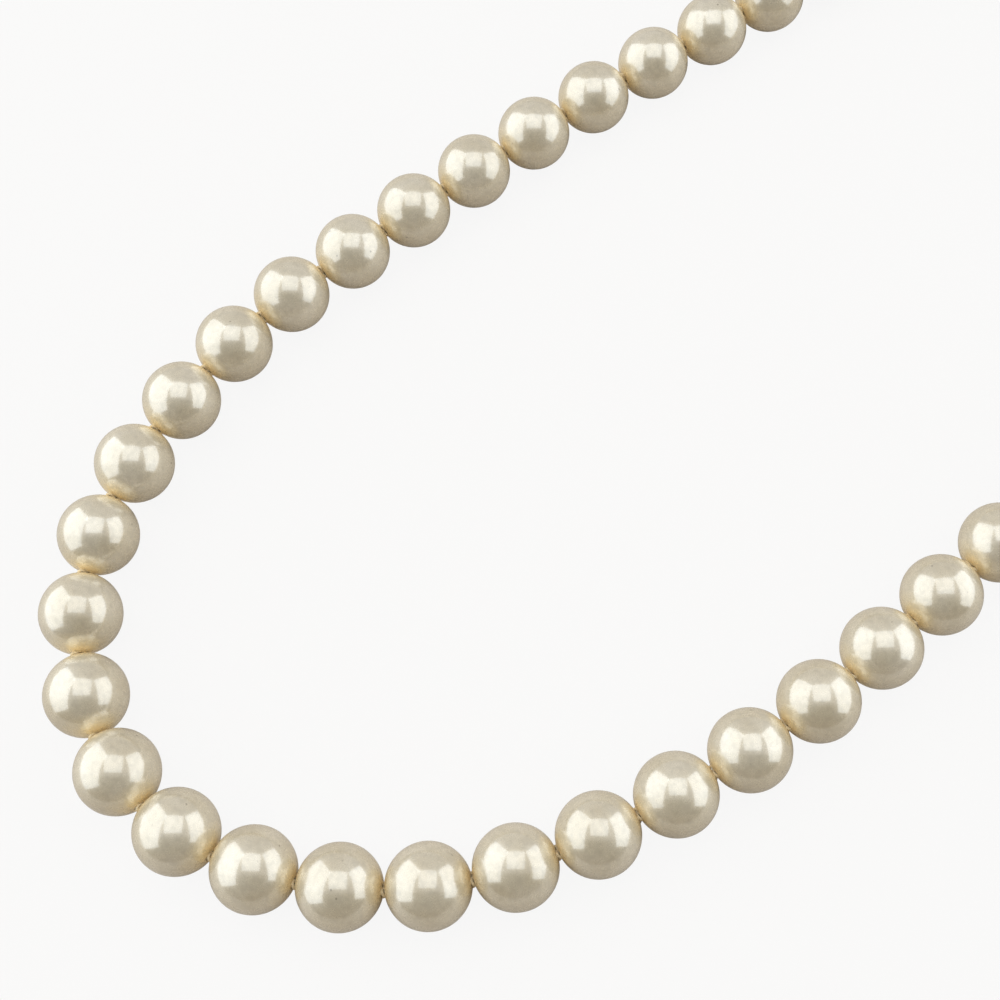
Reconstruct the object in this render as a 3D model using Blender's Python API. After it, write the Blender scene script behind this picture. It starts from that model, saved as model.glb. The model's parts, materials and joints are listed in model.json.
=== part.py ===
"""A graduated pearl necklace with a lobster-claw clasp, lying closed on a table.

The loop lies flat with every pearl resting on z = 0. The clasp is at the +Y end and the largest
pearl is at the -Y end. The origin is at the bottom centre of the whole necklace.
Each row is a left and a right pearl at the same distance from the clasp. Two neighbouring rows
turn about the straight line through their two bends in the thread.
"""

import math

import bmesh
import bpy
import numpy as np
from mathutils import Matrix, Vector

MM = 0.001

# Strand
ROWS = 24  # pearls on each side of the centre pearl
CENTRE_PEARL = 8.4 * MM
END_PEARL = 6.9 * MM
PEARL_GAP = 0.34 * MM
HOLE = 1.2 * MM
THREAD = 0.6 * MM

# Clasp
CLASP_GAP = 0.3 * MM  # between two pieces of the clasp
RING_OUTER = 4.6 * MM
RING_WIRE = 0.7 * MM
RING_PLAY = 0.1 * MM  # between the end ring and where it would pull on the bow
GIMP_WIRE = 0.7 * MM
GIMP_LENGTH = 1.8 * MM  # between the centres of a gimp loop's two round ends
GIMP_SLOPE = math.radians(15)
GIMP_NARROW_BEND = 0.65 * MM
CLAW_LENGTH = 10.5 * MM
CLAW_WIDTH = 5.5 * MM
CLAW_THICKNESS = 2.4 * MM
BOW_THICKNESS = 1.5 * MM
BOW_WIDTH = 1.3 * MM
BOW_SIDE_WIDTH = 1.15 * MM
BOW_CENTRE_X = 1.0 * MM
TIP_ANGLE = -72  # degrees round the bow, where the hook's open end stops
HEEL_ANGLE = 165  # degrees round the bow, where it ends inside the housing
EYE_HOLE = 1.6 * MM
EYE_WALL = 0.65 * MM
EYE_THICKNESS = 1.7 * MM
HOUSING_LENGTH = 4.6 * MM
HOUSING_X = -2.0 * MM
PIVOT_X = -1.6 * MM
LEVER_THICKNESS = 0.7 * MM
LEVER_WIDTH = 0.8 * MM
LEVER_BOSS = 1.5 * MM
TAB_REACH = 1.3 * MM
TAB_START = 0.75 * MM
TAB_WIDTH = 0.6 * MM
TAB_FLARE = 0.2 * MM
PIN = 0.9 * MM
PIN_CLEARANCE = 0.1 * MM
SPRING_ROOM = 1.25 * MM  # over the lever's boss
SPRING_STRIP = 0.16 * MM
SPRING_TAIL = 0.3 * MM

# Mesh fineness
PEARL_SIDES = 12
PEARL_BANDS = 7
RING_STEPS = 20
WIRE_STEPS = 8

# The loop's outline, in mm, from the clasp down the left arm and back up the right one. Its size
# is set by the pearls: the outline is scaled until the strand closes.
OUTLINE = [
    (-4.7, 174.1), (-18.8, 171.9), (-29.5, 162.5), (-33.4, 147.0), (-34.0, 129.0), (-34.2, 109.0),
    (-34.9, 89.0), (-34.9, 69.5), (-34.0, 49.0), (-32.1, 36.6), (-26.1, 20.9), (-14.5, 8.4),
    (2.1, 4.1), (17.7, 10.8), (28.4, 24.1), (33.3, 39.8), (34.8, 56.5), (34.2, 70.0),
    (31.8, 89.0), (29.6, 109.0), (28.4, 129.0), (27.2, 148.0), (23.0, 163.0), (12.3, 172.2),
]  # fmt: skip
STEPS_PER_SPAN = 60


def material(name, colour, roughness, metallic):
    made = bpy.data.materials.new(name)
    made.use_nodes = True
    shader = made.node_tree.nodes["Principled BSDF"]
    shader.inputs["Base Color"].default_value = (*colour, 1)
    shader.inputs["Roughness"].default_value = roughness
    shader.inputs["Metallic"].default_value = metallic
    made.diffuse_color = (*colour, 1)
    return made


def link(name, data, finish, parent=None, smooth_below=40):
    """A mesh or curve as a named object, placed by its parent if it has one."""
    if isinstance(data, bpy.types.Mesh):
        data.shade_smooth()
        data.set_sharp_from_angle(angle=math.radians(smooth_below))
    if not data.materials:
        data.materials.append(finish)
    obj = bpy.data.objects.new(name, data)
    bpy.context.collection.objects.link(obj)
    obj.parent = parent
    return obj


def empty(name, matrix, parent=None):
    made = bpy.data.objects.new(name, None)
    made.empty_display_size = 2 * MM
    bpy.context.collection.objects.link(made)
    made.parent = parent
    bpy.context.view_layer.update()
    made.matrix_world = matrix
    bpy.context.view_layer.update()
    return made


# ---------------------------------------------------------------- the loop


def closed_curve(points):
    """Points closely spaced on the smooth closed curve through the given ones."""
    points = np.array(points)
    count = len(points)
    system = np.zeros((count, count))
    for i in range(count):
        system[i, i] = 4
        system[i, i - 1] = 1
        system[i, (i + 1) % count] = 1
    slopes = np.linalg.solve(system, 3 * (np.roll(points, -1, 0) - np.roll(points, 1, 0)))
    found = []
    for i in range(count):
        j = (i + 1) % count
        for t in np.arange(STEPS_PER_SPAN) / STEPS_PER_SPAN:
            found.append(
                (2 * t**3 - 3 * t**2 + 1) * points[i]
                + (t**3 - 2 * t**2 + t) * slopes[i]
                + (3 * t**2 - 2 * t**3) * points[j]
                + (t**3 - t**2) * slopes[j]
            )
    return np.array(found + found[:1])


class Route:
    """Places on a closed curve by their distance along it."""

    def __init__(self, points):
        self.points = points
        steps = np.linalg.norm(np.diff(points, axis=0), axis=1)
        self.along = np.concatenate([[0], np.cumsum(steps)])

    def at(self, distance):
        return np.array([np.interp(distance, self.along, self.points[:, k]) for k in (0, 1)])

    def step(self, start, chord):
        """How far along the curve the place is that lies one chord away from start."""
        here = self.at(start)
        low, high = start, start + 1.5 * chord
        for _ in range(45):
            middle = (low + high) / 2
            if np.linalg.norm(self.at(middle) - here) < chord:
                low = middle
            else:
                high = middle
        return low


def pearl_radii():
    """From the left pearl at the clasp, round the loop, to the right pearl at the clasp."""
    away = [abs(k) / ROWS for k in range(-ROWS, ROWS + 1)]
    return [(CENTRE_PEARL - (CENTRE_PEARL - END_PEARL) * share) / 2 for share in away]


def strand(route, radii, clasp_chord):
    """The pearls' centres along a route that starts at the middle of the clasp, and the last place."""
    place = route.step(0, clasp_chord / 2)
    centres = [route.at(place)]
    for first, second in zip(radii, radii[1:]):
        place = route.step(place, first + second + PEARL_GAP)
        centres.append(route.at(place))
    return np.array(centres), place


def closed_strand(radii, clasp_chord):
    """The pearls' centres, with the outline scaled so that the clasp just fits between the ends."""
    outline = closed_curve(OUTLINE) * MM
    low, high = 0.6, 1.7
    for _ in range(45):
        scale = (low + high) / 2
        route = Route(outline * scale)
        centres, place = strand(route, radii, clasp_chord)
        room = np.linalg.norm(centres[0] - centres[-1])
        if place > route.along[-1] - clasp_chord / 4 or room < clasp_chord:
            low = scale
        else:
            high = scale
    return centres


def bends(centres, radii):
    """The way each pearl's hole points, and where the thread bends halfway between two holes."""
    chords = np.roll(centres, -1, 0) - centres
    chords = chords / np.linalg.norm(chords, axis=1)[:, None]
    ways = chords + np.roll(chords, 1, 0)
    ways = ways / np.linalg.norm(ways, axis=1)[:, None]
    meets = []
    for i in range(len(centres) - 1):
        mouth = centres[i] + radii[i] * ways[i]
        next_mouth = centres[i + 1] - radii[i + 1] * ways[i + 1]
        height = (radii[i] + radii[i + 1]) / 2
        meets.append(Vector((*((mouth + next_mouth) / 2), height)))
    return ways, meets


# ---------------------------------------------------------------- shapes


def mesh_of(name, points, faces):
    mesh = bpy.data.meshes.new(name)
    mesh.from_pydata([tuple(p) for p in points], [], faces)
    mesh.validate()
    shape = bmesh.new()
    shape.from_mesh(mesh)
    bmesh.ops.recalc_face_normals(shape, faces=shape.faces)
    shape.to_mesh(mesh)
    shape.free()
    return mesh


def drilled_pearl(radius):
    """A ball round the local X axis, drilled along it, with a small flat at its lowest point."""
    first = math.asin(HOLE / 2 / radius)
    step = (math.pi - 2 * first) / PEARL_BANDS
    proud = radius / math.cos(math.pi / PEARL_SIDES) / math.cos(step / 2)
    points, faces = [], []
    for band in range(PEARL_BANDS + 1):
        size = radius if band in (0, PEARL_BANDS) else proud
        angle = first + band * step
        for side in range(PEARL_SIDES):
            turn = 2 * math.pi * (side + 0.5) / PEARL_SIDES - math.pi / 2
            rim = size * math.sin(angle)
            point = (size * math.cos(angle), rim * math.cos(turn), rim * math.sin(turn))
            points.append(point)
    rings = list(range(PEARL_BANDS + 1)) + [0]
    for here, there in zip(rings, rings[1:]):
        for side in range(PEARL_SIDES):
            after = (side + 1) % PEARL_SIDES
            a, b = here * PEARL_SIDES, there * PEARL_SIDES
            faces.append((a + side, a + after, b + after, b + side))
    return mesh_of("pearl", points, faces)


def ring_mesh(name, outer, wire, wide_steps, wire_steps):
    """A wire ring in the local XZ plane, centred on the origin."""
    middle = (outer - wire) / 2
    points, faces = [], []
    for i in range(wide_steps):
        turn = 2 * math.pi * i / wide_steps
        for j in range(wire_steps):
            spin = 2 * math.pi * (j + 0.5) / wire_steps
            reach = middle + wire / 2 * math.cos(spin)
            side = wire / 2 * math.sin(spin)
            points.append((reach * math.cos(turn), side, reach * math.sin(turn)))
    for i in range(wide_steps):
        for j in range(wire_steps):
            a, b = i * wire_steps, (i + 1) % wide_steps * wire_steps
            k = (j + 1) % wire_steps
            faces.append((a + j, a + k, b + k, b + j))
    return mesh_of(name, points, faces)


def plate(name, outline, thickness):
    """A flat piece of the given outline, centred on the local plane z = 0."""
    shape = bmesh.new()
    corners = [shape.verts.new((x, y, -thickness / 2)) for x, y in outline]
    base = shape.faces.new(corners)
    raised = bmesh.ops.extrude_face_region(shape, geom=[base])["geom"]
    top = [item for item in raised if isinstance(item, bmesh.types.BMVert)]
    bmesh.ops.translate(shape, verts=top, vec=(0, 0, thickness))
    bmesh.ops.recalc_face_normals(shape, faces=shape.faces)
    mesh = bpy.data.meshes.new(name)
    shape.to_mesh(mesh)
    shape.free()
    return mesh


def arc(centre, semi_x, semi_y, start, stop, steps):
    """Points on an ellipse, from one angle to another in degrees."""
    turns = [math.radians(start + (stop - start) * k / steps) for k in range(steps + 1)]
    return [
        (centre[0] + semi_x * math.cos(turn), centre[1] + semi_y * math.sin(turn))
        for turn in turns
    ]


def box_outline(x_low, x_high, y_low, y_high):
    return [(x_low, y_low), (x_high, y_low), (x_high, y_high), (x_low, y_high)]


def tool(name, outline, thickness, parent, at=(0, 0)):
    """A plate that is only added to or cut from another piece."""
    made = bpy.data.objects.new(name, plate(name, outline, thickness))
    bpy.context.collection.objects.link(made)
    made.parent = parent
    made.location = (*at, 0)
    made.hide_render = True
    made.display_type = "WIRE"
    return made


def combine(target, other, operation):
    step = target.modifiers.new(other.name, "BOOLEAN")
    step.operation = operation
    step.solver = "EXACT"
    step.object = other


# ---------------------------------------------------------------- the clasp, along its own X axis

RING_MIDDLE = (RING_OUTER - RING_WIRE) / 2
AXIS_HEIGHT = RING_OUTER / 2  # the rings stand on the table, and the claw hangs between them
EYE_RADIUS = EYE_HOLE / 2 + EYE_WALL
EYE_X = -CLAW_LENGTH / 2 + EYE_RADIUS
BOW_INNER_X = CLAW_LENGTH / 2 - BOW_WIDTH
END_WIRE_X = BOW_INNER_X - CLASP_GAP - RING_PLAY - RING_WIRE / 2
CLAW_RING_X = EYE_X - RING_MIDDLE
END_RING_X = END_WIRE_X + RING_MIDDLE
GIMP_WIDE_BEND = RING_WIRE / 2 + CLASP_GAP + GIMP_WIRE / 2
GIMP_REACH = GIMP_LENGTH * math.cos(GIMP_SLOPE) + GIMP_NARROW_BEND + GIMP_WIRE / 2
LEFT_MOUTH_X = CLAW_RING_X - RING_MIDDLE - GIMP_REACH - CLASP_GAP
RIGHT_MOUTH_X = END_RING_X + RING_MIDDLE + GIMP_REACH + CLASP_GAP
CLASP_SPAN = RIGHT_MOUTH_X - LEFT_MOUTH_X

BOW_SEMI_X = CLAW_LENGTH / 2 - BOW_CENTRE_X
BOW_SEMI_Y = CLAW_WIDTH / 2
PIVOT_Y = -CLAW_WIDTH / 2 + LEVER_BOSS / 2
BOSS_TOP_Y = PIVOT_Y + LEVER_BOSS / 2
PIN_BORE = PIN / 2 + PIN_CLEARANCE


def claw(parent, finish):
    bow = (BOW_CENTRE_X, 0)
    inner_x, inner_y = BOW_SEMI_X - BOW_WIDTH, BOW_SEMI_Y - BOW_SIDE_WIDTH
    outer = arc(bow, BOW_SEMI_X, BOW_SEMI_Y, TIP_ANGLE, HEEL_ANGLE, 22)
    inner = arc(bow, inner_x, inner_y, HEEL_ANGLE, TIP_ANGLE, 20)
    body = link("claw_body", plate("claw_body", outer + inner, BOW_THICKNESS), finish, parent)

    housing = arc((HOUSING_X, 0), HOUSING_LENGTH / 2, CLAW_WIDTH / 2, 0, 345, 23)
    combine(body, tool("housing_shape", housing, CLAW_THICKNESS, parent), "UNION")
    eye = arc((EYE_X, 0), EYE_RADIUS, EYE_RADIUS, 0, 340, 17)
    combine(body, tool("eye_shape", eye, EYE_THICKNESS, parent), "UNION")

    slot = LEVER_THICKNESS + 2 * CLASP_GAP
    slot_left = PIVOT_X - LEVER_BOSS / 2 - CLASP_GAP
    room = box_outline(slot_left, BOW_CENTRE_X, -CLAW_WIDTH, BOSS_TOP_Y + SPRING_ROOM)
    combine(body, tool("lever_slot", room, slot, parent), "DIFFERENCE")
    eye_hole = arc((EYE_X, 0), EYE_HOLE / 2, EYE_HOLE / 2, 0, 337.5, 15)
    combine(body, tool("eye_hole", eye_hole, 2 * CLAW_THICKNESS, parent), "DIFFERENCE")
    pin_hole = arc((PIVOT_X, PIVOT_Y), PIN_BORE, PIN_BORE, 0, 337.5, 15)
    combine(body, tool("pin_hole", pin_hole, 2 * CLAW_THICKNESS, parent), "DIFFERENCE")
    return body


def lever(parent, finish):
    """The gate, in the frame of its pivot: a boss, a bar to the hook's tip and a thumb tab."""
    tip_x = BOW_CENTRE_X + (BOW_SEMI_X - BOW_WIDTH) * math.cos(math.radians(TIP_ANGLE))
    end = tip_x - CLASP_GAP - PIVOT_X
    low = -LEVER_BOSS / 2
    high = low + LEVER_WIDTH
    tab_end = TAB_START + TAB_WIDTH
    outline = [
        (TAB_START, low - TAB_REACH), (tab_end, low - TAB_REACH), (tab_end + TAB_FLARE, low),
        (end, low), (end, high), (LEVER_BOSS / 2, high),
    ]  # fmt: skip
    outline += arc((0, 0), LEVER_BOSS / 2, LEVER_BOSS / 2, 30, 290, 13)
    gate = link("claw_gate", plate("claw_gate", outline, LEVER_THICKNESS), finish, parent)
    hole = arc((0, 0), PIN_BORE, PIN_BORE, 0, 337.5, 15)
    combine(gate, tool("gate_hole", hole, 2 * CLAW_THICKNESS, parent), "DIFFERENCE")
    return gate


def spring(parent, finish):
    """A bent leaf over the lever's boss, which presses the gate shut."""
    low, high = BOSS_TOP_Y + CLASP_GAP, BOSS_TOP_Y + SPRING_ROOM - CLASP_GAP
    left, right = PIVOT_X - LEVER_BOSS / 2, PIVOT_X + LEVER_BOSS / 2
    outline = [
        (left, low), (right + SPRING_TAIL, low), (right + SPRING_TAIL, low + SPRING_STRIP),
        (left + SPRING_STRIP, low + SPRING_STRIP), (left + SPRING_STRIP, high - SPRING_STRIP),
        (right, high - SPRING_STRIP), (right, high), (left, high),
    ]  # fmt: skip
    return link("gate_spring", plate("gate_spring", outline, LEVER_THICKNESS), finish, parent)


def gimp_loop(name, start_x, outward, parent, finish):
    """A closed loop of French wire, wide round the ring's wire and narrow at the pearl's hole."""
    lean = math.degrees(math.acos((GIMP_WIDE_BEND - GIMP_NARROW_BEND) / GIMP_LENGTH))
    flat = arc((0, 0), GIMP_WIDE_BEND, GIMP_WIDE_BEND, lean, 360 - lean, 9)
    narrow = (GIMP_LENGTH, 0)
    flat += arc(narrow, GIMP_NARROW_BEND, GIMP_NARROW_BEND, -lean, lean, 5)
    data = bpy.data.curves.new(name, "CURVE")
    data.dimensions = "3D"
    line = data.splines.new("POLY")
    line.points.add(len(flat) - 1)
    for spot, (x, y) in zip(line.points, flat):
        along = start_x + outward * x * math.cos(GIMP_SLOPE)
        spot.co = (along, y, x * math.sin(GIMP_SLOPE), 1)
    line.use_cyclic_u = True
    data.bevel_depth = GIMP_WIRE / 2
    data.bevel_resolution = 2
    return link(name, data, finish, parent)


# ---------------------------------------------------------------- the whole necklace


def build():
    for old in list(bpy.data.objects):
        bpy.data.objects.remove(old, do_unlink=True)

    nacre = material("pearl_nacre", (0.87, 0.82, 0.70), 0.16, 0.0)
    silk = material("silk_thread", (0.86, 0.78, 0.60), 0.8, 0.0)
    gold = material("gilt_metal", (0.83, 0.66, 0.36), 0.22, 1.0)
    steel = material("spring_steel", (0.62, 0.61, 0.58), 0.3, 1.0)

    radii = pearl_radii()
    clasp_chord = CLASP_SPAN + radii[0] + radii[-1]
    centres = closed_strand(radii, clasp_chord)
    reach = np.array([[radius, radius] for radius in radii])
    middle = ((centres - reach).min(0) + (centres + reach).max(0)) / 2
    centres = centres - middle
    ways, meets = bends(centres, radii)

    # The clasp, on the straight line between the mouths of the first pearls' holes
    ends = (centres[0] - radii[0] * ways[0], centres[-1] + radii[-1] * ways[-1])
    along = ends[1] - ends[0]
    heading = math.atan2(along[1], along[0])
    shift = (LEFT_MOUTH_X + RIGHT_MOUTH_X) / 2
    spot = (ends[0] + ends[1]) / 2 - shift * along / np.linalg.norm(along)
    at_clasp = Matrix.Translation((*spot, AXIS_HEIGHT)) @ Matrix.Rotation(heading, 4, "Z")
    row_frame = empty("row_01_frame", at_clasp)
    claw_frame = empty("claw_axis", at_clasp, row_frame)
    pivot = at_clasp @ Matrix.Translation((PIVOT_X, PIVOT_Y, 0))
    gate_frame = empty("gate_axis", pivot, claw_frame)
    claw(claw_frame, gold)
    lever(gate_frame, gold)
    spring(claw_frame, steel)
    pin_outline = arc((PIVOT_X, PIVOT_Y), PIN / 2, PIN / 2, 0, 330, 11)
    link("gate_pin", plate("gate_pin", pin_outline, CLAW_THICKNESS), gold, claw_frame)
    for name, x in (("claw_ring", CLAW_RING_X), ("end_ring", END_RING_X)):
        ring = ring_mesh(name, RING_OUTER, RING_WIRE, RING_STEPS, WIRE_STEPS)
        link(name, ring, gold, row_frame, 60).location = (x, 0, 0)
    gimp_loop("gimp_left", CLAW_RING_X - RING_MIDDLE, -1, row_frame, gold)
    gimp_loop("gimp_right", END_RING_X + RING_MIDDLE, 1, row_frame, gold)

    # The thread, straight through each pearl and bent between them
    line = [Vector((*ends[0], radii[0])), *meets, Vector((*ends[1], radii[-1]))]
    data = bpy.data.curves.new("silk_thread", "CURVE")
    data.dimensions = "3D"
    path = data.splines.new("POLY")
    path.points.add(len(line) - 1)
    for point, place in zip(path.points, line):
        point.co = (*place, 1)
    data.bevel_depth = THREAD / 2
    data.bevel_resolution = 2
    data.use_fill_caps = True
    link("silk_thread", data, silk)

    # The pearls, row by row from the clasp, each row hung on the bends before it
    frame = row_frame
    last = len(centres) - 1
    for row in range(1, ROWS + 2):
        left, right = row - 1, last - (row - 1)
        if row > 1:
            a, b = meets[left - 1], meets[right]
            aim = (b - a).to_2d()
            turn = Matrix.Rotation(math.atan2(aim.y, aim.x), 4, "Z")
            frame = empty(f"row_{row:02d}_axis", Matrix.Translation((a + b) / 2) @ turn, frame)
        shape = drilled_pearl(radii[left])
        sides = {"left": left, "right": right} if row <= ROWS else {"centre": left}
        for side, index in sides.items():
            name = f"pearl_{side}_{row:02d}" if row <= ROWS else "pearl_centre"
            pearl = link(name, shape, nacre, None, 60)
            way = math.atan2(ways[index][1], ways[index][0])
            place = Matrix.Translation((*centres[index], radii[index]))
            pearl.parent = frame
            bpy.context.view_layer.update()
            pearl.matrix_world = place @ Matrix.Rotation(way, 4, "Z")
    bpy.context.view_layer.update()


build()
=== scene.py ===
"""The looks of a graduated pearl necklace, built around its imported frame.

Every pearl is turned as a fine drilled ball in the place of its plain solid. A silk thread with a
knot in each gap runs through them, French wire guards its two ends, and a gilt claw joins them.
"""

import json
import math
import random

import bmesh
import bpy
from mathutils import Matrix, Vector, noise


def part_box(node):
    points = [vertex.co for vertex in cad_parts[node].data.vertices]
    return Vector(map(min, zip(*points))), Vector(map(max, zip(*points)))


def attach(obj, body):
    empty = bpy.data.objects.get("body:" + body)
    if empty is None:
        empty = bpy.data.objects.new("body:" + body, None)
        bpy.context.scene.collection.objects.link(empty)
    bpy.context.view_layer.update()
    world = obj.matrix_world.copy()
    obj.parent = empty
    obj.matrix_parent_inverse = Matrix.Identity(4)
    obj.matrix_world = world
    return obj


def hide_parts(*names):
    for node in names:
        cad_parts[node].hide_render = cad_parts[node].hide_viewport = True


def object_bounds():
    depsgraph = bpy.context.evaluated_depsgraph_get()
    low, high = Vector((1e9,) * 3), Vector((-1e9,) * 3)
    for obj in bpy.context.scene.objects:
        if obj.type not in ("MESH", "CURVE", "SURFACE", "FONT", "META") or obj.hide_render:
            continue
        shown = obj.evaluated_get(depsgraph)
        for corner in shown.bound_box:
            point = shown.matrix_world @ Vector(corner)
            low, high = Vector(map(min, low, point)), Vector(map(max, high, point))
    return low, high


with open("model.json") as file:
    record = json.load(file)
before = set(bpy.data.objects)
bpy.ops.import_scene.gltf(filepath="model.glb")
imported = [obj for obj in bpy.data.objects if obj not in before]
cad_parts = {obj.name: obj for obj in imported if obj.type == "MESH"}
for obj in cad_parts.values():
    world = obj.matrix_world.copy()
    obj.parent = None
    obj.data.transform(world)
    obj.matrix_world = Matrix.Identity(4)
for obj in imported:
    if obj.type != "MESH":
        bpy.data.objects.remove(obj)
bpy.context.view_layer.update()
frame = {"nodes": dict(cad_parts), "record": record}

MM = 0.001
FULL_TURN = 2 * math.pi
UPRIGHT = Vector((0, 0, 1))

# Pearls
PEARL_SWELL = 0.13 * MM  # how far the finished nacre stands out over the plain solid
PEARL_BANDS = 44
PEARL_SIDES = 72
OUT_OF_ROUND = 0.004  # share of the radius
LUMP_SCALE = 0.9
LUMP_MEAN = 0.25
HOLE_RADIUS = 0.55 * MM
HOLE_LIP = 0.09 * MM
LIP_CURVE = ((0.12, 0.42), (0.6, 0.0))  # depth in the mouth and width over the hole, in lips

# Thread and knots
THREAD_RADIUS = 0.27 * MM
THREAD_PLIES = 3
THREAD_STEPS = 36
TURNS_PER_MM = 0.55
PLY_RADIUS = THREAD_RADIUS * 0.52
PLY_SIDES = 6
KNOT_RADIUS = 0.74 * MM
KNOT_STRAND = 0.15 * MM
KNOT_RISE = KNOT_STRAND * 0.9  # how far a strand lifts where it crosses another
KNOT_STEPS = 42
KNOT_SIDES = 8

# Rings and French wire
RING_WIRE = 0.35 * MM
RING_STEPS = 72
RING_SIDES = 18
RING_SEAM = 0.94  # the wire's thickness at the soldered seam, as a share
GIMP_COIL = 0.22 * MM
GIMP_WIRE = 0.07 * MM
GIMP_PITCH = 0.15 * MM
GIMP_COIL_STEPS = 9
GIMP_SIDES = 6
GIMP_PLAY = 0.12 * MM
GIMP_INSIDE = 1.2 * MM  # how deep each leg runs into the pearl
GIMP_LEG_STEPS = 30
GIMP_LEG_SPREAD = 1.25
GIMP_LEG_CURVE = 1.5
GIMP_BEND_STEPS = 16
GIMP_NARROW = 0.27 * MM  # from the hole's middle to each leg

# Castings
CAST_GRAIN = 0.055 * MM
WELD_GAP = 0.002 * MM
TUMBLING_SHARE = 0.5
BODY_TUMBLING = 24
GATE_TUMBLING = 10
EDGE_WEAR = 0.03 * MM
SHARP_EDGE = math.radians(40)

# Colours
NACRE_DEEP = (0.63, 0.535, 0.372)
NACRE_CREAM = (0.68, 0.592, 0.434)
NACRE_PALE = (0.72, 0.635, 0.486)
NACRE_DARK_DOT = (0.30, 0.25, 0.17)
# painted glow: warm light through the nacre and between neighbours, painted round the drill holes
NACRE_PAINTED_GLOW = (0.93, 0.75, 0.43)
# painted shade in the hollows of the silk's grain
SILK_PAINTED_SHADE = (0.66, 0.50, 0.27)
SILK_LIGHT = (0.90, 0.76, 0.50)
GILT_BRIGHT = (0.86, 0.64, 0.30)
GILT_DULL = (0.76, 0.54, 0.24)
WIRE_BRIGHT = (0.88, 0.67, 0.33)
WIRE_DULL = (0.80, 0.58, 0.27)
STEEL_BRIGHT = (0.62, 0.61, 0.59)
STEEL_DULL = (0.50, 0.49, 0.47)
PAPER_SHADE = (0.52, 0.455, 0.375)
PAPER_LIGHT = (0.55, 0.485, 0.405)
DAYLIGHT = (0.85, 0.93, 1.0)
WHITE_ROOM = (0.99, 0.99, 0.99)

rng = random.Random(24)


# ---------------------------------------------------------------- places


def middle_of(name):
    low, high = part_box(name)
    return (low + high) / 2


def height_of(name):
    low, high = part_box(name)
    return high.z - low.z


def level(vector):
    return Vector((vector.x, vector.y, 0)).normalized()


rows = max(int(name.split("_")[-1]) for name in frame["nodes"] if name.startswith("pearl_left"))
strand = [f"pearl_left_{k:02d}" for k in range(1, rows + 1)]
strand += ["pearl_centre"]
strand += [f"pearl_right_{k:02d}" for k in range(rows, 0, -1)]
centres = [middle_of(name) for name in strand]
radii = [height_of(name) / 2 for name in strand]
bodies = frame["record"]["behaviour"]["bodies"]
body_of = {name: body for body, names in bodies.items() for name in names}


def hole_ways():
    """The way each pearl's hole points, halfway between the ways to its two neighbours."""
    count = len(centres)
    chords = [level(centres[(i + 1) % count] - centres[i]) for i in range(count)]
    return [(chords[i] + chords[i - 1]).normalized() for i in range(count)]


ways = hole_ways()


def gap_middles():
    """Halfway between each two neighbouring holes, where the thread bends."""
    found = []
    for i in range(len(centres) - 1):
        here = centres[i] + radii[i] * ways[i]
        there = centres[i + 1] - radii[i + 1] * ways[i + 1]
        found.append((here + there) / 2)
    return found


gaps = gap_middles()
clasp_way = level(middle_of("end_ring") - middle_of("claw_ring"))


# ---------------------------------------------------------------- node helpers


def node(tree, kind, inputs=None, **settings):
    made = tree.nodes.new(kind)
    for name, value in settings.items():
        setattr(made, name, value)
    for name, value in (inputs or {}).items():
        socket = made.inputs[name]  # by name, or by place where names repeat
        if isinstance(value, bpy.types.NodeSocket):
            tree.links.new(value, socket)
        else:
            socket.default_value = value
    return made


def grey(value):
    return (value, value, value)


def ramp(tree, factor, *stops):
    """A colour ramp through (position, colour) stops."""
    made = node(tree, "ShaderNodeValToRGB", {"Fac": factor})
    elements = made.color_ramp.elements
    while len(elements) < len(stops):
        elements.new(0.5)
    for element, (place, colour) in zip(elements, stops):
        element.position = place
        element.color = (*colour, 1)
    return made.outputs["Color"]


def mixed(tree, factor, first, second, blend="MIX"):
    """Two colours mixed, by the sockets that the node keeps for colours."""
    inputs = {0: factor}
    for place, colour in ((6, first), (7, second)):
        linked = isinstance(colour, bpy.types.NodeSocket)
        inputs[place] = colour if linked else (*colour, 1)
    return node(tree, "ShaderNodeMix", inputs, data_type="RGBA", blend_type=blend).outputs[2]


def bumped(tree, height, strength, distance):
    inputs = {"Height": height, "Strength": strength, "Distance": distance}
    return node(tree, "ShaderNodeBump", inputs).outputs["Normal"]


def new_material(name):
    made = bpy.data.materials.new(name)
    made.use_nodes = True
    return made, made.node_tree, made.node_tree.nodes["Principled BSDF"]


def speckle_group():
    """Fine grain and slow clouds over a surface, at the scales that the material asks for."""
    group = bpy.data.node_groups.new("speckle", "ShaderNodeTree")
    for name, value in (("Grain Scale", 3000.0), ("Cloud Scale", 150.0)):
        socket = group.interface.new_socket(name, in_out="INPUT", socket_type="NodeSocketFloat")
        socket.default_value = value
    for name in ("Grain", "Clouds"):
        group.interface.new_socket(name, in_out="OUTPUT", socket_type="NodeSocketFloat")
    scales = node(group, "NodeGroupInput").outputs
    place = node(group, "ShaderNodeTexCoord").outputs["Object"]
    fine = {"Vector": place, "Scale": scales["Grain Scale"], "Detail": 3.0, "Roughness": 0.65}
    slow = {"Vector": place, "Scale": scales["Cloud Scale"], "Detail": 2.0}
    found = {
        "Grain": node(group, "ShaderNodeTexNoise", fine).outputs["Fac"],
        "Clouds": node(group, "ShaderNodeTexNoise", slow).outputs["Fac"],
    }
    node(group, "NodeGroupOutput", found)
    return group


speckle = speckle_group()


def speckled(tree, grain_scale, cloud_scale):
    made = node(tree, "ShaderNodeGroup")
    made.node_tree = speckle
    made.inputs["Grain Scale"].default_value = grain_scale
    made.inputs["Cloud Scale"].default_value = cloud_scale
    return made.outputs["Grain"], made.outputs["Clouds"]


# ---------------------------------------------------------------- finishes


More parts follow.
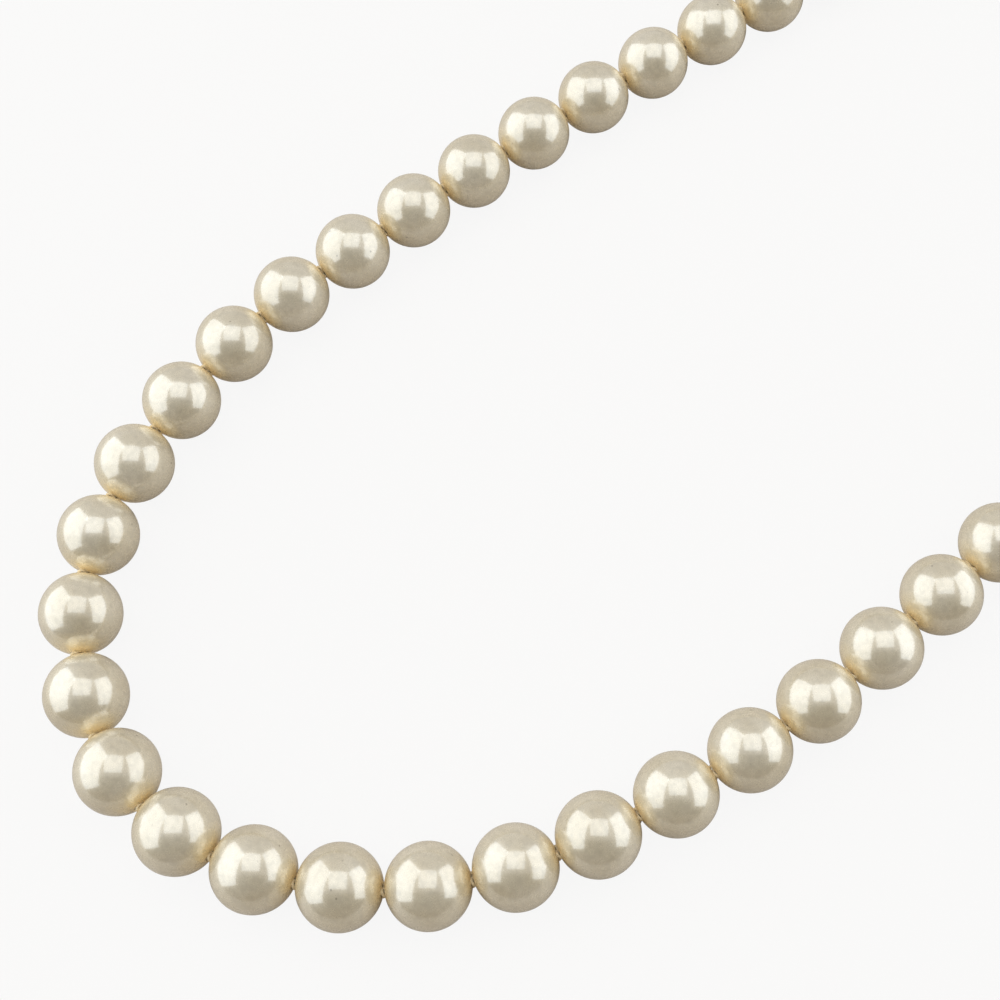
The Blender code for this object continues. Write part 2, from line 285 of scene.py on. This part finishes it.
def nacre():
    """Cream nacre: a soft metallic depth under a clear glossy skin, with a painted golden glow round
    the drill holes that stands in for light passing through the nacre and bouncing between
    neighbours.
    """
    made, tree, shader = new_material("nacre")
    grain, clouds = speckled(tree, 1700.0, 260.0)
    cream = ramp(tree, clouds, (0.30, NACRE_DEEP), (0.52, NACRE_CREAM), (0.72, NACRE_PALE))
    mottle = ramp(tree, grain, (0.36, grey(0.87)), (0.56, grey(1.0)))
    cream = mixed(tree, 1.0, cream, mottle, "MULTIPLY")

    # A few tiny dark dots, in the cells that the second ramp picks out
    place = node(tree, "ShaderNodeTexCoord").outputs["Object"]
    cells = node(tree, "ShaderNodeTexVoronoi", {"Vector": place, "Scale": 900.0}).outputs
    dot = ramp(tree, cells["Distance"], (0.06, grey(1.0)), (0.13, grey(0.0)))
    chosen = ramp(tree, cells["Color"], (0.76, grey(0.0)), (0.80, grey(1.0)))
    dark_dots = mixed(tree, 1.0, dot, chosen, "MULTIPLY")
    dotted = mixed(tree, dark_dots, cream, NACRE_DARK_DOT)

    # Painted golden glow near the drill holes, standing in for light that passes through the nacre
    # and bounces between neighbouring pearls
    nearness = node(tree, "ShaderNodeAttribute", attribute_name="hole_nearness").outputs["Fac"]
    painted_glow = ramp(tree, nearness, (0.64, grey(0.0)), (0.85, grey(0.35)), (0.98, grey(0.9)))
    tree.links.new(mixed(tree, painted_glow, dotted, NACRE_PAINTED_GLOW), shader.inputs["Base Color"])

    rough = ramp(tree, grain, (0.25, grey(0.32)), (0.75, grey(0.24)))
    tree.links.new(rough, shader.inputs["Roughness"])
    shader.inputs["Metallic"].default_value = 0.26
    shader.inputs["IOR"].default_value = 1.9
    shader.inputs["Coat Weight"].default_value = 1.0
    shader.inputs["Coat Roughness"].default_value = 0.10
    shader.inputs["Coat IOR"].default_value = 1.95

    waves = bumped(tree, clouds, 1.0, 0.024 * MM)
    fine = bumped(tree, grain, 1.0, 0.006 * MM)
    tree.links.new(waves, fine.node.inputs["Normal"])
    tree.links.new(fine, shader.inputs["Normal"])
    return made


def silk():
    """Dry twisted silk, with shade painted darker down between its fibres, where the grain that
    bumps it lies low.
    """
    made, tree, shader = new_material("silk")
    grain = speckled(tree, 9000.0, 900.0)[0]
    # Painted shade: a darker colour where the bump grain lies low, between the fibres
    colour = ramp(tree, grain, (0.3, SILK_PAINTED_SHADE), (0.7, SILK_LIGHT))
    tree.links.new(colour, shader.inputs["Base Color"])
    shader.inputs["Roughness"].default_value = 0.62
    shader.inputs["Sheen Weight"].default_value = 0.4
    tree.links.new(bumped(tree, grain, 0.4, 0.03 * MM), shader.inputs["Normal"])
    return made


def polished_metal(name, bright, dull, polish):
    """Polished metal, clouded with the dull colour, with a fine brushing in its gloss."""
    made, tree, shader = new_material(name)
    grain, clouds = speckled(tree, 5200.0, 420.0)
    colour = ramp(tree, clouds, (0.35, dull), (0.62, bright))
    tree.links.new(colour, shader.inputs["Base Color"])
    rough = ramp(tree, grain, (0.3, grey(polish + 0.12)), (0.7, grey(polish)))
    tree.links.new(rough, shader.inputs["Roughness"])
    shader.inputs["Metallic"].default_value = 1.0
    tree.links.new(bumped(tree, grain, 0.12, 0.01 * MM), shader.inputs["Normal"])
    return made


def pale_floor():
    """Pale matt paper that lights the pearls from below and hides nothing that hangs under it.

    The camera sees the white room through all but a trace of it, so it looks evenly white with a
    breath of shadow, and the windows' light passes down to a strand that is held lower.
    """
    made, tree, shader = new_material("pale_floor")
    clouds = node(tree, "ShaderNodeTexNoise", {"Scale": 6.0, "Detail": 2.0}).outputs["Fac"]
    colour = ramp(tree, clouds, (0.3, PAPER_SHADE), (0.7, PAPER_LIGHT))
    tree.links.new(colour, shader.inputs["Base Color"])
    shader.inputs["Roughness"].default_value = 0.8
    path = node(tree, "ShaderNodeLightPath").outputs
    below = node(tree, "ShaderNodeNewGeometry").outputs["Backfacing"]
    seen = {0: path["Is Camera Ray"], 1: 0.91}
    clear = node(tree, "ShaderNodeMath", seen, operation="MULTIPLY").outputs[0]
    for other in (path["Is Shadow Ray"], below):
        either = {0: clear, 1: other}
        clear = node(tree, "ShaderNodeMath", either, operation="MAXIMUM").outputs[0]
    both = node(tree, "ShaderNodeMixShader", {"Fac": clear})
    through = node(tree, "ShaderNodeBsdfTransparent")
    tree.links.new(shader.outputs["BSDF"], both.inputs[1])
    tree.links.new(through.outputs["BSDF"], both.inputs[2])
    tree.links.new(both.outputs["Shader"], tree.nodes["Material Output"].inputs["Surface"])
    return made


nacre_skin = nacre()
silk_twist = silk()
gilt = polished_metal("gilt", GILT_BRIGHT, GILT_DULL, 0.14)
gilt_wire = polished_metal("gilt_wire", WIRE_BRIGHT, WIRE_DULL, 0.2)
spring_steel = polished_metal("spring_steel", STEEL_BRIGHT, STEEL_DULL, 0.24)


# ---------------------------------------------------------------- piece helpers


def place_mesh(name, points, faces, finish, body, replaced=()):
    data = bpy.data.meshes.new(name)
    data.from_pydata(points, [], faces)
    data.update()
    shape = bmesh.new()
    shape.from_mesh(data)
    bmesh.ops.recalc_face_normals(shape, faces=shape.faces)
    shape.to_mesh(data)
    shape.free()
    data.shade_smooth()
    data.materials.append(finish)
    made = bpy.data.objects.new(name, data)
    bpy.context.collection.objects.link(made)
    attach(made, body)
    if replaced:
        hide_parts(*replaced)
    return made


def joined_skin(made):
    """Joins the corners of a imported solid, which come as loose triangles."""
    made.modifiers.new("joined_skin", "WELD").merge_threshold = WELD_GAP


def grid_faces(rings, sides, closed=True):
    """Quads over rings of points, and on from the last ring to the first where they close."""
    found = []
    for i in range(rings if closed else rings - 1):
        a = i * sides
        b = (i + 1) % rings * sides
        for j in range(sides):
            k = (j + 1) % sides
            found.append((a + j, a + k, b + k, b + j))
    return found


def tube(path, radius, sides, closed=False):
    """Rings of points round a path, and the faces of the tube, with its ends capped."""
    points = []
    count = len(path)
    side = None
    for i, spot in enumerate(path):
        before = path[i - 1] if closed or i else spot
        after = path[(i + 1) % count] if closed or i < count - 1 else spot
        along = (after - before).normalized()
        if side is None:
            side = along.orthogonal().normalized()
        side = (side - side.dot(along) * along).normalized()
        other = along.cross(side)
        for j in range(sides):
            turn = FULL_TURN * j / sides
            points.append(spot + radius * (math.cos(turn) * side + math.sin(turn) * other))
    faces = grid_faces(count, sides, closed)
    if not closed:
        faces.append(tuple(range(sides)))
        faces.append(tuple((count - 1) * sides + j for j in range(sides)))
    return points, faces


def merged(parts):
    """Several (points, faces) shapes as one."""
    points, faces = [], []
    for more_points, more_faces in parts:
        start = len(points)
        points += more_points
        faces += [tuple(start + k for k in face) for face in more_faces]
    return points, faces


# ---------------------------------------------------------------- pearls


def pearl_profile(radius):
    """(along the hole, away from it) from one end of the drilled hole, over the ball and back."""
    mouth = math.asin((HOLE_RADIUS + HOLE_LIP) / radius)
    profile = []
    for band in range(PEARL_BANDS + 1):
        angle = mouth + (math.pi - 2 * mouth) * band / PEARL_BANDS
        profile.append((radius * math.cos(angle), radius * math.sin(angle)))
    end = radius * math.cos(mouth)
    lip = [(end - HOLE_LIP * deep, HOLE_RADIUS + HOLE_LIP * wide) for deep, wide in LIP_CURVE]
    far_lip = [(-x, away) for x, away in lip]
    return profile + far_lip + lip[::-1]


def finish_pearl(name, centre, way, radius):
    across = Vector((-way.y, way.x, 0))
    lean = rng.uniform(0, FULL_TURN)
    seed = Vector((rng.uniform(0, 90), rng.uniform(0, 90), rng.uniform(0, 90)))
    points, nearness = [], []
    profile = pearl_profile(radius)
    for x, away in profile:
        nearness += [abs(x) / radius] * PEARL_SIDES
        for side in range(PEARL_SIDES):
            turn = lean + FULL_TURN * side / PEARL_SIDES
            spot = x * way + away * (math.cos(turn) * across + math.sin(turn) * UPRIGHT)
            lump = noise.noise(spot / radius * LUMP_SCALE + seed) - LUMP_MEAN
            points.append(centre + spot * (1 + OUT_OF_ROUND * lump))
    faces = grid_faces(len(profile), PEARL_SIDES)
    made = place_mesh(f"{name}_nacre", points, faces, nacre_skin, body_of[name], [name])
    # The nearness to the holes drives the painted golden glow in the nacre
    made.data.attributes.new("hole_nearness", "FLOAT", "POINT").data.foreach_set("value", nearness)


for name, centre, way, radius in zip(strand, centres, ways, radii):
    finish_pearl(name, centre, way, radius + PEARL_SWELL)


# ---------------------------------------------------------------- thread and knots


def knot(centre, way):
    """A small overhand knot, pulled into the two mouths that it sits between."""
    other = way.cross(UPRIGHT)
    path = []
    for k in range(KNOT_STEPS):
        t = FULL_TURN * k / KNOT_STEPS
        high = (math.sin(t) + 2 * math.sin(2 * t)) / 3
        wide = (math.cos(t) - 2 * math.cos(2 * t)) / 3
        rise = -math.sin(3 * t) * KNOT_RISE
        path.append(centre + KNOT_RADIUS * (high * UPRIGHT + wide * other) + rise * way)
    return tube(path, KNOT_STRAND, KNOT_SIDES, closed=True)


def twisted(start, end):
    """A straight piece of thread, of plies laid round each other."""
    along = end - start
    way = along.normalized()
    side = way.orthogonal().normalized()
    other = way.cross(side)
    turns = TURNS_PER_MM * along.length / MM
    parts = []
    for which in range(THREAD_PLIES):
        path = []
        for k in range(THREAD_STEPS + 1):
            share = k / THREAD_STEPS
            turn = FULL_TURN * (which / THREAD_PLIES + turns * share)
            out = math.cos(turn) * side + math.sin(turn) * other
            path.append(start + along * share + (THREAD_RADIUS - PLY_RADIUS) * out)
        parts.append(tube(path, PLY_RADIUS, PLY_SIDES))
    return merged(parts)


def string_pearls():
    """The thread through each pearl, with the knot of the gap on the pearl's side of the turn."""
    last = len(strand) - 1
    turn = last // 2
    for i, name in enumerate(strand):
        start = gaps[i - 1] if i else centres[i] - radii[i] * ways[i]
        end = gaps[i] if i < last else centres[i] + radii[i] * ways[i]
        parts = [twisted(start, end)]
        if i < turn:
            parts.append(knot(gaps[i], level(centres[i + 1] - centres[i])))
        elif i > turn:
            parts.append(knot(gaps[i - 1], level(centres[i] - centres[i - 1])))
        points, faces = merged(parts)
        replaced = ["silk_thread"] if name == "pearl_left_01" else []
        piece = name.replace("pearl", "thread")
        place_mesh(piece, points, faces, silk_twist, body_of[name], replaced)


string_pearls()


# ---------------------------------------------------------------- clasp


def finish_ring(name):
    """A round wire ring, closed by a fine soldered seam."""
    centre = middle_of(name)
    reach = height_of(name) / 2 - RING_WIRE
    across = clasp_way.cross(UPRIGHT)
    points = []
    for i in range(RING_STEPS):
        turn = FULL_TURN * i / RING_STEPS
        out = math.cos(turn) * clasp_way + math.sin(turn) * UPRIGHT
        wire = RING_WIRE * (RING_SEAM if i == RING_STEPS // 8 else 1.0)
        for j in range(RING_SIDES):
            spin = FULL_TURN * j / RING_SIDES
            ahead = out * (reach + wire * math.cos(spin))
            points.append(centre + ahead + across * wire * math.sin(spin))
    faces = grid_faces(RING_STEPS, RING_SIDES)
    place_mesh(f"{name}_wire", points, faces, gilt, body_of[name], [name])


for ring in ("claw_ring", "end_ring"):
    finish_ring(ring)


def coil_round(path):
    """A fine wire wound closely round a path."""
    lengths = [0.0]
    for a, b in zip(path, path[1:]):
        lengths.append(lengths[-1] + (b - a).length)
    turns = lengths[-1] / GIMP_PITCH
    steps = int(turns * GIMP_COIL_STEPS)
    wound = []
    piece = 0
    for k in range(steps + 1):
        here = lengths[-1] * k / steps
        while piece < len(path) - 2 and lengths[piece + 1] < here:
            piece += 1
        share = (here - lengths[piece]) / (lengths[piece + 1] - lengths[piece])
        spot = path[piece].lerp(path[piece + 1], share)
        forward = (path[piece + 1] - path[piece]).normalized()
        side = (UPRIGHT - UPRIGHT.dot(forward) * forward).normalized()
        other = forward.cross(side)
        turn = FULL_TURN * turns * k / steps
        wound.append(spot + GIMP_COIL * (math.cos(turn) * side + math.sin(turn) * other))
    return tube(wound, GIMP_WIRE, GIMP_SIDES)


def finish_gimp(name, ring, mouth, way):
    """French wire, coiled over the thread, from the hole round the ring's wire and back."""
    hook = middle_of(ring) - way * (height_of(ring) / 2 - RING_WIRE)
    along = mouth - hook
    forward = along.normalized()
    across = UPRIGHT.cross(forward).normalized()
    bend = RING_WIRE + GIMP_COIL + GIMP_WIRE + GIMP_PLAY
    path = []
    for k in range(GIMP_LEG_STEPS + 1):
        share = k / GIMP_LEG_STEPS
        spread = math.sin(math.pi / 2 * min(1, share * GIMP_LEG_SPREAD)) ** GIMP_LEG_CURVE
        width = GIMP_NARROW + (bend - GIMP_NARROW) * spread
        ahead = GIMP_INSIDE - (along.length + GIMP_INSIDE) * share
        path.append(mouth + forward * ahead + across * width)
    first_leg = path[::-1]
    for k in range(1, GIMP_BEND_STEPS):
        turn = math.pi * k / GIMP_BEND_STEPS
        path.append(hook + bend * (math.cos(turn) * across - math.sin(turn) * forward))
    path += [spot - 2 * across.dot(spot - hook) * across for spot in first_leg]
    points, faces = coil_round(path)
    place_mesh(f"{name}_coil", points, faces, gilt_wire, body_of[name], [name])


finish_gimp("gimp_left", "claw_ring", centres[0] - radii[0] * ways[0], clasp_way)
finish_gimp("gimp_right", "end_ring", centres[-1] + radii[-1] * ways[-1], -clasp_way)


def cast_piece(name, tumbling):
    """A solid of the clasp as cast, with its edges worn round by so many rounds of tumbling."""
    data = frame["nodes"][name].data.copy()
    data.materials.clear()
    data.materials.append(gilt)
    made = bpy.data.objects.new(f"{name}_cast", data)
    bpy.context.collection.objects.link(made)
    joined_skin(made)
    skin = made.modifiers.new("even_skin", "REMESH")
    skin.mode = "VOXEL"
    skin.voxel_size = CAST_GRAIN
    skin.use_smooth_shade = True
    worn = made.modifiers.new("tumbled", "SMOOTH")
    worn.factor = TUMBLING_SHARE
    worn.iterations = tumbling
    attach(made, body_of[name])
    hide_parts(name)


cast_piece("claw_body", BODY_TUMBLING)
cast_piece("claw_gate", GATE_TUMBLING)


def finish_solid(name, finish):
    """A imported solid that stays, in its finish and with its edges softened."""
    made = frame["nodes"][name]
    made.data.materials.clear()
    made.data.materials.append(finish)
    joined_skin(made)
    soft = made.modifiers.new("softened_edges", "BEVEL")
    soft.width = EDGE_WEAR
    soft.segments = 2
    soft.limit_method = "ANGLE"
    soft.angle_limit = SHARP_EDGE


finish_solid("gate_pin", gilt)
finish_solid("gate_spring", spring_steel)


# ---------------------------------------------------------------- floor, light and camera

FLOOR_REACH = 3.0

CAMERA_PLACE = Vector((51.5, -53.7, 151.2)) * MM
CAMERA_AIM = Vector((-0.3, -37.0, 4.0)) * MM
CAMERA_UP = Vector((-0.774, 0.539, 0.333))
CAMERA_LENS = 55.0
CAMERA_SENSOR = 36.0
CAMERA_RANGE = (0.005, 20.0)

# Name, aim by the camera's right, up and back, distance and size in metres, watts
WINDOWS = (
    ("left_window", (-0.88, 0.20, 0.34), 0.40, (0.52, 0.72), 2.00),
    ("top_window", (-0.01, 0.48, 0.86), 0.70, (0.62, 0.60), 1.66),
    ("right_window", (0.85, 0.22, 0.40), 0.40, (0.36, 0.58), 1.12),
)

# The room's brightness from the far side round to the near side
ROOM_SHADES = (
    (0.0, (0.49, 0.475, 0.47)),
    (0.10, (0.22, 0.20, 0.165)),
    (0.5, (0.185, 0.155, 0.115)),
    (0.9, (0.26, 0.215, 0.16)),
)

back = (CAMERA_PLACE - CAMERA_AIM).normalized()
right = CAMERA_UP.cross(back).normalized()
up = back.cross(right)


def turned(sideways, upward, backward):
    return Matrix((sideways, upward, backward)).transposed().to_4x4()


def add_floor():
    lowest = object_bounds()[0][2]
    data = bpy.data.meshes.new("floor")
    corners = [(-1, -1), (1, -1), (1, 1), (-1, 1)]
    points = [(x * FLOOR_REACH, y * FLOOR_REACH, lowest) for x, y in corners]
    data.from_pydata(points, [], [(0, 1, 2, 3)])
    data.materials.append(pale_floor())
    made = bpy.data.objects.new("floor", data)
    bpy.context.collection.objects.link(made)


def add_camera():
    data = bpy.data.cameras.new("camera")
    data.lens = CAMERA_LENS
    data.sensor_width = CAMERA_SENSOR
    data.clip_start, data.clip_end = CAMERA_RANGE
    made = bpy.data.objects.new("camera", data)
    bpy.context.collection.objects.link(made)
    made.matrix_world = Matrix.Translation(CAMERA_PLACE) @ turned(right, up, back)
    bpy.context.scene.camera = made


def add_window(name, aim, distance, size, watts):
    """A soft light that faces the turn of the strand, placed by the camera's right, up and back."""
    way = (aim[0] * right + aim[1] * up + aim[2] * back).normalized()
    data = bpy.data.lights.new(name, "AREA")
    data.shape = "RECTANGLE"
    data.size, data.size_y = size
    data.energy = watts
    data.color = DAYLIGHT
    made = bpy.data.objects.new(name, data)
    bpy.context.collection.objects.link(made)
    sideways = up.cross(way).normalized()
    facing = turned(sideways, way.cross(sideways), way)
    made.matrix_world = Matrix.Translation(CAMERA_AIM + distance * way) @ facing
    made.visible_camera = False


def add_room():
    """A pale room, cool on the far side, warm and darker on the near side and behind the camera."""
    world = bpy.data.worlds.new("room")
    bpy.context.scene.world = world
    world.use_nodes = True
    tree = world.node_tree
    way = node(tree, "ShaderNodeTexCoord").outputs["Generated"]

    def along(aim):
        made = node(tree, "ShaderNodeVectorMath", {0: way, 1: aim}, operation="DOT_PRODUCT")
        return made.outputs["Value"]

    room = ramp(tree, along(-up), *ROOM_SHADES)
    behind_camera = (back - 0.25 * up).normalized()
    darker = ramp(tree, along(behind_camera), (0.80, grey(1.0)), (0.93, grey(0.72)))
    room = mixed(tree, 1.0, room, darker, "MULTIPLY")
    to_eye = node(tree, "ShaderNodeLightPath").outputs["Is Camera Ray"]
    shade = tree.nodes["Background"].inputs["Color"]
    tree.links.new(mixed(tree, to_eye, room, WHITE_ROOM), shade)


add_camera()
add_floor()
for window in WINDOWS:
    add_window(*window)
add_room()
bpy.context.scene.view_settings.view_transform = "Standard"
